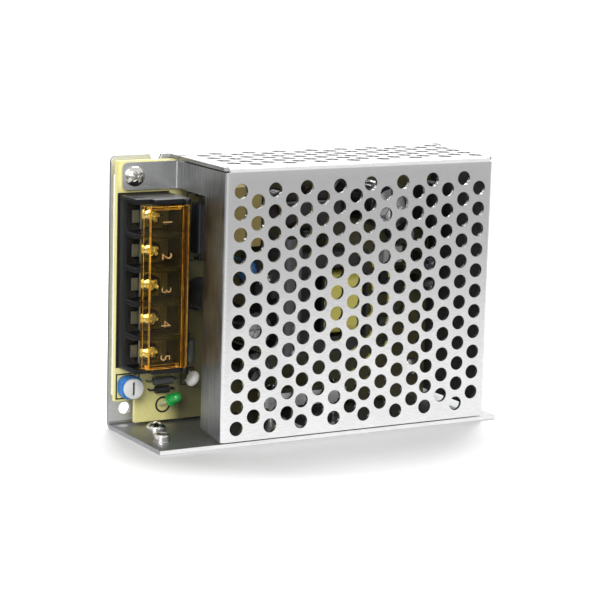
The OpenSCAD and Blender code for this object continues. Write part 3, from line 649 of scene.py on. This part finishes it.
@dataclass
class Enclosure:
    """The chassis angle and the perforated cover over it; sizes in millimetres."""

    edge_mm: float = 0.12
    plate_mm: float = 1.3
    collar_x: float = 5.7
    collar_reach: float = 3.2
    collar_h: float = 3.0
    bend: float = 6.0
    cover_wall: float = 1.2
    flap_from: float = 4.0
    flap_area: float = 4.0

    def build(self) -> None:
        """Makes both sheets, with painted shade inside the cover, on its flap and on the
        chassis, and painted light on the chassis back plate and front edge.
        """
        self._chassis()
        self._cover()

    def _chassis(self) -> None:
        """Makes the chassis with the small round that shearing leaves on its edges."""
        # painted shade: the chassis is painted darker than the cover
        chassis = soft_copy("chassis", "chassis_sheet_formed", CHASSIS_SHEET, self.edge_mm)
        low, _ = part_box("chassis")
        plate_top = low.z + self.plate_mm * MM
        collar = low.x + self.collar_x * MM
        # the collar that takes a screw from the side is rolled out bright
        paint_part(
            chassis, NICKEL,
            lambda face: plate_top < face.center.z < plate_top + self.collar_h * MM
            and abs(face.center.x - collar) < self.collar_reach * MM
            and face.center.y < 0,
        )
        # painted light on the front of the back plate above the bend
        paint_part(
            chassis, CHASSIS_BACK,
            lambda face: turned(face, 1, -1) and face.center.z > plate_top + self.bend * MM,
        )
        # painted highlight: the sheared front edge of the plate is painted as bright as the
        # cover; the outer sides get the cover's colour too
        paint_part(
            chassis, COVER_SHEET,
            lambda face: turned(face, 1, 1) or turned(face, 2, -1)
            or (face.normal.y < -0.5 and face.center.z < plate_top),
        )

    def _cover(self) -> None:
        """Makes the cover, with painted shade inside and on its streaked narrow flap."""
        cover = soft_copy("mesh_cover", "mesh_cover_formed", COVER_SHEET)
        low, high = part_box("mesh_cover")
        wall = self.cover_wall * MM

        def inside(face: bpy.types.MeshPolygon) -> bool:
            """Says whether a face is the inner side of the front, the top or the right end."""
            place = face.center
            return (
                (turned(face, 1, 1) and place.y < low.y + wall)
                or (turned(face, 2, -1) and place.z > high.z - wall)
                or (turned(face, 0, -1) and place.x > high.x - wall)
            )

        # painted shade on the inner sides of the front, the top and the right end
        paint_part(cover, COVER_INSIDE, inside)
        _, tab_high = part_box("cover_screw")
        flap = tab_high.x + self.flap_from * MM
        # painted shade: the narrow flap is painted darker than the rest of the cover
        paint_part(
            cover, FLAP_SHEET,
            lambda face: turned(face, 0, -1) and flap < face.center.x < 0
            and face.area > self.flap_area * MM * MM,
        )


@dataclass
class Fixings:
    """Screws and stand-offs of the enclosure and the board; sizes in millimetres."""

    edge_mm: float = 0.08

    def build(self) -> None:
        """Makes the plated screws and stand-offs."""
        for node in ("cover_screw", "earth_screw", "board_standoffs", "board_screws"):
            soft_copy(node, node + "_plated", NICKEL, self.edge_mm)


# ---- the terminal end ----


@dataclass
class TerminalBlock:
    """The black five-way block, its contacts, clamp plates and screws; in millimetres."""

    ways: int = 5
    edge_mm: float = 0.15
    plate_edge: float = 0.08
    screw_edge: float = 0.06

    def build(self) -> None:
        """Makes the block with soft moulded edges and its plated metal."""
        soft_copy("terminal_block", "terminal_block_moulded", BLACK_MOULDING, self.edge_mm, 2)
        soft_copy("contact_plates", "contact_plates_pressed", CONTACT, self.plate_edge)
        for way in range(1, self.ways + 1):
            plate, screw = f"clamp_plate_{way}", f"terminal_screw_{way}"
            soft_copy(plate, plate + "_pressed", CLAMP, self.plate_edge)
            soft_copy(screw, screw + "_plated", NICKEL, self.screw_edge)


@dataclass
class TerminalLid:
    """The amber lid over the terminals, with its raised way numbers; in millimetres."""

    ways: int = 5
    edge_mm: float = 0.08
    bead_w: float = 1.3
    round_area: float = 10.0
    line: float = 0.14
    line_rise: float = 0.06
    line_in: tuple[float, float] = (1.3, 2.4)
    line_end: float = 1.1
    digit_h: float = 4.3
    digit_rise: float = 0.15
    digit_thin: float = -0.07
    digit_shift: float = -0.6
    digit_in: float = 4.9

    def build(self) -> None:
        """Makes the lid, the line of its hollow and its numbers."""
        lid = soft_copy("terminal_cover", "terminal_lid_clear", AMBER_CLEAR, self.edge_mm, 2)
        low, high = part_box("terminal_cover")
        bead = high.x - self.bead_w * MM

        def gathers_light(face: bpy.types.MeshPolygon) -> bool:
            """Says whether a face is on the bead or a narrow round along an edge."""
            if face.center.x > bead:
                return True
            slanted = max(abs(c) for c in face.normal) < 0.97
            return slanted and face.area < self.round_area * MM * MM

        # painted glow on the bead and on the narrow rounds along the edges
        paint_part(lid, AMBER_EDGE, gathers_light)
        paint_part(
            lid, AMBER_SHADED,
            lambda face: face.center.x > bead and (face.normal.x > 0.3 or face.normal.y > 0.5),
        )
        self._line(low, high)
        for way in range(1, self.ways + 1):
            self._digit(way, low)

    def _line(self, low: Vector, high: Vector) -> None:
        """Makes the thin raised line that shows where the hollow of the lid ends.

        Args:
            low: Lowest corner of the lid.
            high: Highest corner of the lid.
        """
        left, right = low.x + self.line_in[0] * MM, high.x - self.line_in[1] * MM
        deselect_all()
        bpy.ops.mesh.primitive_plane_add(
            size=1, location=((left + right) / 2, low.y, (low.z + high.z) / 2),
            rotation=(math.pi / 2, 0, 0),
        )
        bpy.context.active_object.scale = (
            right - left, high.z - low.z - 2 * self.line_end * MM, 1,
        )
        # the line gets the same painted glow, from brown to golden
        line = raised_outline("lid_hollow_line", self.line, self.line_rise, AMBER_EDGE)
        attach(line, "terminal_lid")

    def _digit(self, way: int, lid_low: Vector) -> None:
        """Makes one raised number over its way, read from the side of the wires.

        Args:
            way: The number to make.
            lid_low: Lowest corner of the lid, whose front plane carries the number.
        """
        plate_low, plate_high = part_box(f"clamp_plate_{way}")
        middle = (plate_low.z + plate_high.z) / 2 + self.digit_shift * MM
        deselect_all()
        bpy.ops.object.text_add()
        words = bpy.context.active_object
        words.data.body = str(way)
        words.data.size = self.digit_h * MM
        words.data.align_x = "CENTER"
        words.data.extrude = self.digit_rise / 2 * MM
        words.data.offset = self.digit_thin * MM
        bpy.ops.object.convert(target="MESH")
        digit = name_new(f"lid_number_{way}")
        # the foot of the number looks to the wires, so it is read from top to bottom
        turn = Matrix(((0, 1, 0), (0, 0, -1), (-1, 0, 0))).to_4x4()
        start = Vector((lid_low.x + self.digit_in * MM, lid_low.y, middle))
        digit.matrix_world = Matrix.Translation(start) @ turn
        settle(digit)
        paint(digit, AMBER_FROSTED)
        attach(digit, "terminal_lid")
        LOG.info("made %s", digit.name)


@dataclass
class Trimmer:
    """The blue trimmer and its dial; sizes in millimetres."""

    body_edge: float = 0.12
    dial_edge: float = 0.1
    slot_depth: float = 0.55
    slot_reach: float = 0.4

    def build(self) -> None:
        """Makes the body and the dial with painted shade in its slot."""
        soft_copy("trimmer_body", "trimmer_body_moulded", BLUE_MOULDING, self.body_edge, 2)
        dial = soft_copy(
            "trimmer_dial", "trimmer_dial_moulded", WHITE_MOULDING, self.dial_edge, 2
        )
        low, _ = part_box("trimmer_dial")
        floor = low.y + self.slot_depth * MM
        # painted shade in the slot of the dial
        paint_part(
            dial, SLOT_SHADE,
            lambda face: turned(face, 1, -1)
            and floor < face.center.y < floor + self.slot_reach * MM,
        )


@dataclass
class StatusLamp:
    """The leaning green lamp on its two leads; in millimetres, its lean in degrees."""

    base: tuple[float, float] = (-39.9, 6.6)
    lens_d: float = 3.0
    body_l: float = 2.7
    dome: float = 0.48
    flange_d: float = 3.7
    flange_h: float = 0.9
    flange_edge: float = 0.15
    lead_up: float = 3.0
    lead_pitch: float = 2.54
    lead_w: float = 0.5
    lead_l: float = 4.0
    lead_drop: float = 1.2
    lean: tuple[float, float] = (-29.0, 24.0)

    def build(self) -> None:
        """Makes the lens with its flange and the two leads down to the board."""
        lens = join([self._lens(), self._flange()])
        paint(lens, GREEN_LENS)
        lamp = join([lens, *(self._lead(side) for side in (-1, 1))])
        lamp.name = "status_lamp_moulded"
        self._stand_on_board(lamp)
        smooth(lamp)
        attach(lamp, "frame")
        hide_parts("status_lamp")
        LOG.info("made %s", lamp.name)

    def _cylinder(self, name: str, across: float, low: float, tall: float) -> bpy.types.Object:
        """Makes an upright cylinder over the foot of the lamp.

        Args:
            name: Its name.
            across: Its diameter in millimetres.
            low: Where it starts above the board, in millimetres.
            tall: Its height in millimetres.

        Returns:
            The cylinder.
        """
        deselect_all()
        bpy.ops.mesh.primitive_cylinder_add(
            vertices=40, radius=across / 2 * MM, depth=tall * MM,
            location=(0, 0, (low + tall / 2) * MM),
        )
        cylinder = name_new(name)
        settle(cylinder)
        return cylinder

    def _lens(self) -> bpy.types.Object:
        """Makes the lens, a short cylinder with a domed end."""
        lens = self._cylinder(
            "status_lamp_lens", self.lens_d, self.lead_up, self.body_l + self.lens_d / 2
        )
        pick_faces(lens, lambda face: turned(face, 2, 1))
        bpy.ops.mesh.bevel(offset=self.lens_d * self.dome * MM, segments=8, profile=0.5)
        leave_edit()
        return lens

    def _flange(self) -> bpy.types.Object:
        """Makes the flange round the foot of the lens."""
        flange = self._cylinder(
            "status_lamp_flange", self.flange_d, self.lead_up, self.flange_h
        )
        round_edges(flange, self.flange_edge, 2)
        return flange

    def _lead(self, side: int) -> bpy.types.Object:
        """Makes one square lead of the lamp.

        Args:
            side: -1 for the lead on the left, 1 for the one on the right.

        Returns:
            The lead, a little longer than what stays of it.
        """
        deselect_all()
        bpy.ops.mesh.primitive_cube_add(
            size=self.lead_w * MM,
            location=(
                side * self.lead_pitch / 2 * MM, 0, (self.lead_up - self.lead_drop) * MM,
            ),
            scale=(1, 1, self.lead_l / self.lead_w),
        )
        lead = name_new(f"status_lamp_lead_{side + 2}")
        settle(lead)
        paint(lead, TINNED)
        return lead

    def _stand_on_board(self, lamp: bpy.types.Object) -> None:
        """Leans the lamp over its place on the board and cuts its leads off at the face.

        Args:
            lamp: The joined lamp, upright over the origin.
        """
        board_low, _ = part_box("circuit_board")
        foot = Vector((self.base[0] * MM, board_low.y, self.base[1] * MM))
        # the board looks to -Y: its own x is X, its own y is Z, its own z is -Y
        to_board = Matrix(((1, 0, 0), (0, 0, -1), (0, 1, 0))).to_4x4()
        tilt = Matrix.Rotation(math.radians(self.lean[1]), 4, "Y") @ Matrix.Rotation(
            math.radians(self.lean[0]), 4, "X"
        )
        lamp.matrix_world = Matrix.Translation(foot) @ to_board @ tilt
        settle(lamp)
        make_active(lamp)
        bpy.ops.object.mode_set(mode="EDIT")
        bpy.ops.mesh.select_all(action="SELECT")
        bpy.ops.mesh.bisect(
            plane_co=(0, board_low.y, 0), plane_no=(0, 1, 0), clear_outer=True, use_fill=True
        )
        leave_edit()


# ---- the board ----


@dataclass
class Board:
    """The circuit board with the outlines printed on its front; sizes in millimetres."""

    line: float = 0.42
    ring: float = 0.58
    rise: float = 0.03
    lamp_ring: float = 2.4
    lamp_foot: tuple[float, float] = (1.7, 0.6)
    rings: dict[str, float] = field(default_factory=lambda: {
        "bulk_capacitor": 0.6, "output_capacitor_1": 0.5, "output_capacitor_2": 0.5,
        "output_inductor": 0.5,
    })
    boxes: dict[str, float] = field(default_factory=lambda: {
        "white_capacitor": 0.4, "optocoupler": 0.5, "trimmer_body": 0.5,
        "terminal_block": 0.35, "mains_capacitor": 0.5, "fuse": 0.5,
        "control_chip": 0.6, "bridge_rectifier": 0.5,
    })

    def build(self) -> None:
        """Dresses the board and prints the outlines."""
        # the laminate is painted dark olive under and near the cover as painted shade
        dress_node("circuit_board", LAMINATE)
        dress_node("insulating_film", FILM)
        dress_node("insulating_pad", FILM)
        low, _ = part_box("circuit_board")
        lamp_low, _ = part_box("status_lamp")
        foot = Vector((
            (lamp_low.x + self.lamp_foot[0] * MM) / MM,
            (lamp_low.z + self.lamp_foot[1] * MM) / MM,
        ))
        prints = [self._around("status_lamp_base", foot, self.lamp_ring, low.y)]
        for node, grow in self.rings.items():
            a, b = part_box(node)
            spot = Vector(((a.x + b.x) / 2, (a.z + b.z) / 2)) / MM
            prints.append(self._around(node, spot, (b.x - a.x) / 2 / MM + grow, low.y))
        for node, grow in self.boxes.items():
            a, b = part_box(node)
            prints.append(self._box(node, a, b, grow, low.y))
        silk = join(prints)
        silk.name = "board_outline_print"
        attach(silk, "frame")
        LOG.info("made %s", silk.name)

    def _around(self, name: str, spot: Vector, radius: float, face_y: float) -> bpy.types.Object:
        """Prints a ring on the board.

        Args:
            name: What the ring is drawn round.
            spot: Its middle on the board, in millimetres.
            radius: Its outer radius in millimetres.
            face_y: Where the board's front face lies, in metres.

        Returns:
            The printed ring.
        """
        deselect_all()
        bpy.ops.mesh.primitive_circle_add(
            vertices=56, radius=radius * MM, fill_type="NGON",
            location=(spot.x * MM, face_y, spot.y * MM), rotation=(math.pi / 2, 0, 0),
        )
        return raised_outline(f"print_{name}", self.ring, self.rise, BOARD_PRINT)

    def _box(
        self, name: str, low: Vector, high: Vector, grow: float, face_y: float
    ) -> bpy.types.Object:
        """Prints a box on the board round a part.

        Args:
            name: What the box is drawn round.
            low: Lowest corner of the part, in metres.
            high: Highest corner of the part, in metres.
            grow: How far outside the part the line runs, in millimetres.
            face_y: Where the board's front face lies, in metres.

        Returns:
            The printed box.
        """
        deselect_all()
        bpy.ops.mesh.primitive_plane_add(
            size=1, location=((low.x + high.x) / 2, face_y, (low.z + high.z) / 2),
            rotation=(math.pi / 2, 0, 0),
        )
        bpy.context.active_object.scale = (
            high.x - low.x + 2 * grow * MM, high.z - low.z + 2 * grow * MM, 1,
        )
        return raised_outline(f"print_{name}", self.line, self.rise, BOARD_PRINT)


@dataclass
class Components:
    """Everything that stands on the board; sizes in millimetres."""

    cans: Sequence[str] = (
        "bulk_capacitor", "output_capacitor_1", "output_capacitor_2", "small_capacitors",
    )
    covered: Sequence[str] = ("output_capacitor_2",)
    bare_end: tuple[float, float] = (0.2, 0.6)
    plain: dict[str, Finish] = field(default_factory=lambda: {
        "transformer_core": FERRITE,
        "transformer_bobbin": BLACK_MOULDING,
        "transformer_winding": YELLOW_TAPE,
        "filter_core": FERRITE,
        "filter_winding_1": VARNISHED_WIRE,
        "filter_winding_2": VARNISHED_WIRE,
        "mains_capacitor": TAN_MOULDING,
        "blue_capacitor": BLUE_DIP,
        "white_capacitor": WHITE_DIP,
        "bridge_rectifier": CHIP_EPOXY,
        "fuse": SLEEVE,
        "thermistor": GREEN_DIP,
        "control_chip": CHIP_EPOXY,
        "optocoupler": WHITE_MOULDING,
        "output_inductor": SLEEVE,
        "resistors": RESISTOR_COAT,
        "diodes": CHIP_EPOXY,
        "switching_transistor": CHIP_EPOXY,
        "output_rectifier": CHIP_EPOXY,
        "clamp_bar": BAR,
        "clamp_bar_screws": NICKEL,
        "heat_spreader": SPREADER,
        "rectifier_screw": NICKEL,
    })

    def build(self) -> None:
        """Makes each component with joined, smooth faces in its own finish."""
        for node in self.cans:
            can = soft_copy(node, node + "_sleeved", SLEEVE)
            if node in self.covered:
                continue
            low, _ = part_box(node)
            near, far = (low.y + deep * MM for deep in self.bare_end)
            paint_part(
                can, CAN_END,
                lambda face, near=near, far=far: near < face.center.y < far
                and turned(face, 1, -1),
            )
        for node, finish in self.plain.items():
            soft_copy(node, node + "_finished", finish)


# ---- floor, light and camera ----


@dataclass(frozen=True)
class SoftLamp:
    """A square soft lamp: its place and side in metres, and its power in watts."""

    name: str
    place: tuple[float, float, float]
    power: float
    side: float = 0.4


@dataclass
class Studio:
    """A pale floor, soft lamps, a white surround and the camera; in metres and degrees."""

    lamps: Sequence[SoftLamp] = (
        SoftLamp("key_lamp", (0.16, 0.28, 0.55), 7.4),
        SoftLamp("front_lamp", (-0.5, -0.5, 0.4), 6.0),
    )
    lamp_aim: tuple[float, float, float] = (0.0, 0.0, 0.035)
    camera_place: tuple[float, float, float] = (-0.31684, -0.54942, 0.15282)
    camera_turn: tuple[float, float, float] = (79.586, -1.547, -29.462)
    camera_lens_mm: float = 134.79
    camera_sensor_mm: float = 36.0
    camera_near: float = 0.01
    ambient: float = 0.24
    floor_side: float = 6.0
    floor_drop: float = 0.0002
    paper: str = "#E4E4E4"
    floor_glow: tuple[float, float] = (0.0, 1.0)
    glow_reach: tuple[float, float] = (0.055, 0.17)
    gloss_glow: tuple[float, float] = (1.15, 0.42)
    gloss_reach: tuple[float, float] = (-0.1, -0.34)
    gloss_behind: tuple[float, float] = (0.06, 0.16)
    gloss_dim: tuple[float, float] = (1.0, 0.2)
    to_back_left: tuple[float, float, float] = (-0.7, 0.7, 0.0)

    def build(self) -> None:
        """Makes the floor, the surround, the lamps and the camera."""
        self._floor()
        self._world()
        for lamp in self.lamps:
            self._lamp(lamp)
        self._camera()

    def _floor(self) -> None:
        """Makes the pale floor, which keeps the shadow and turns white further out."""
        deselect_all()
        bpy.ops.mesh.primitive_plane_add(
            size=self.floor_side, location=(0, 0, -self.floor_drop)
        )
        floor = name_new("floor")
        settle(floor)
        material = bpy.data.materials.new("pale_paper_floor")
        material.use_nodes = True
        tree = material.node_tree
        tree.nodes.clear()
        path = add_node(tree, "ShaderNodeLightPath").outputs
        place = add_node(tree, "ShaderNodeTexCoord").outputs["Object"]
        away = add_node(
            tree, "ShaderNodeVectorMath", {0: place}, operation="LENGTH"
        ).outputs["Value"]
        seen = add_node(
            tree, "ShaderNodeMath",
            {0: path["Is Camera Ray"], 1: path["Is Transmission Ray"]}, operation="MAXIMUM",
        ).outputs["Value"]
        near = self._ramp(tree, away, self.glow_reach, self.floor_glow)
        strength = add_node(
            tree, "ShaderNodeMath", {0: seen, 1: near}, operation="MULTIPLY"
        ).outputs["Value"]
        paper = add_node(
            tree, "ShaderNodeBsdfDiffuse", {"Color": linear(self.paper)}
        ).outputs["BSDF"]
        glow = add_node(
            tree, "ShaderNodeEmission", {"Color": (1, 1, 1, 1), "Strength": strength}
        ).outputs["Emission"]
        plain = add_node(tree, "ShaderNodeAddShader", {0: paper, 1: glow}).outputs["Shader"]
        # in gloss the floor is bright in front of the object and dim to the left behind it
        depth = add_node(tree, "ShaderNodeSeparateXYZ", {"Vector": place}).outputs["Y"]
        ahead = self._ramp(tree, depth, self.gloss_reach, self.gloss_glow)
        aside = add_node(
            tree, "ShaderNodeVectorMath", {0: place, 1: self.to_back_left},
            operation="DOT_PRODUCT",
        ).outputs["Value"]
        behind = self._ramp(tree, aside, self.gloss_behind, self.gloss_dim)
        level = add_node(
            tree, "ShaderNodeMath", {0: ahead, 1: behind}, operation="MULTIPLY"
        ).outputs["Value"]
        mirrored = add_node(
            tree, "ShaderNodeEmission", {"Color": (1, 1, 1, 1), "Strength": level}
        ).outputs["Emission"]
        both = add_node(
            tree, "ShaderNodeMixShader", {0: path["Is Glossy Ray"], 1: plain, 2: mirrored}
        ).outputs["Shader"]
        add_node(tree, "ShaderNodeOutputMaterial", {"Surface": both})
        floor.data.materials.append(material)

    def _ramp(
        self, tree: bpy.types.NodeTree, value: bpy.types.NodeSocket,
        reach: tuple[float, float], levels: tuple[float, float],
    ) -> bpy.types.NodeSocket:
        """Turns a place on the floor into a brightness, evenly between two places.

        Args:
            tree: The node tree of the floor.
            value: The socket with the place, in metres.
            reach: The two places between which the brightness changes.
            levels: The brightness at each of them.

        Returns:
            The socket of the brightness.
        """
        return add_node(
            tree, "ShaderNodeMapRange",
            {
                "Value": value, "From Min": reach[0], "From Max": reach[1],
                "To Min": levels[0], "To Max": levels[1],
            },
        ).outputs["Result"]

    def _world(self) -> None:
        """Makes the surround: white to the eye and in gloss, plain grey as light."""
        world = bpy.data.worlds.new("studio_surround")
        bpy.context.scene.world = world
        world.use_nodes = True
        tree = world.node_tree
        tree.nodes.clear()
        path = add_node(tree, "ShaderNodeLightPath").outputs
        glossy = add_node(
            tree, "ShaderNodeMath",
            {0: path["Is Camera Ray"], 1: path["Is Glossy Ray"]}, operation="MAXIMUM",
        ).outputs["Value"]
        white = add_node(
            tree, "ShaderNodeMath",
            {0: glossy, 1: path["Is Transmission Ray"]}, operation="MAXIMUM",
        ).outputs["Value"]
        strength = add_node(
            tree, "ShaderNodeMapRange",
            {"Value": white, "To Min": self.ambient, "To Max": 1.0},
        ).outputs["Result"]
        light = add_node(
            tree, "ShaderNodeBackground", {"Color": (1, 1, 1, 1), "Strength": strength}
        ).outputs["Background"]
        add_node(tree, "ShaderNodeOutputWorld", {"Surface": light})

    def _lamp(self, soft: SoftLamp) -> None:
        """Adds one soft square lamp that looks at the middle of the object.

        Args:
            soft: The lamp to add.
        """
        deselect_all()
        bpy.ops.object.light_add(type="AREA", location=soft.place)
        lamp = bpy.context.active_object
        lamp.name = soft.name
        lamp.data.size = soft.side
        lamp.data.energy = soft.power
        towards = Vector(self.lamp_aim) - Vector(soft.place)
        lamp.rotation_euler = towards.to_track_quat("-Z", "Y").to_euler()

    def _camera(self) -> None:
        """Adds the camera with a long lens, turned left and a little down."""
        deselect_all()
        bpy.ops.object.camera_add(
            location=self.camera_place,
            rotation=tuple(math.radians(a) for a in self.camera_turn),
        )
        camera = bpy.context.active_object
        camera.data.lens = self.camera_lens_mm
        camera.data.sensor_width = self.camera_sensor_mm
        camera.data.clip_start = self.camera_near
        bpy.context.scene.camera = camera
        bpy.context.scene.view_settings.view_transform = "Standard"


def main() -> None:
    """Builds the sub-assemblies in order."""
    logging.basicConfig(level=logging.INFO, format="%(message)s")
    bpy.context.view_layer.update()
    for part in (
        Enclosure(), Fixings(), TerminalBlock(), TerminalLid(), Trimmer(), StatusLamp(),
        Board(), Components(), Studio(),
    ):
        LOG.info("building %s", type(part).__name__)
        part.build()


if __name__ == "__main__":
    main()
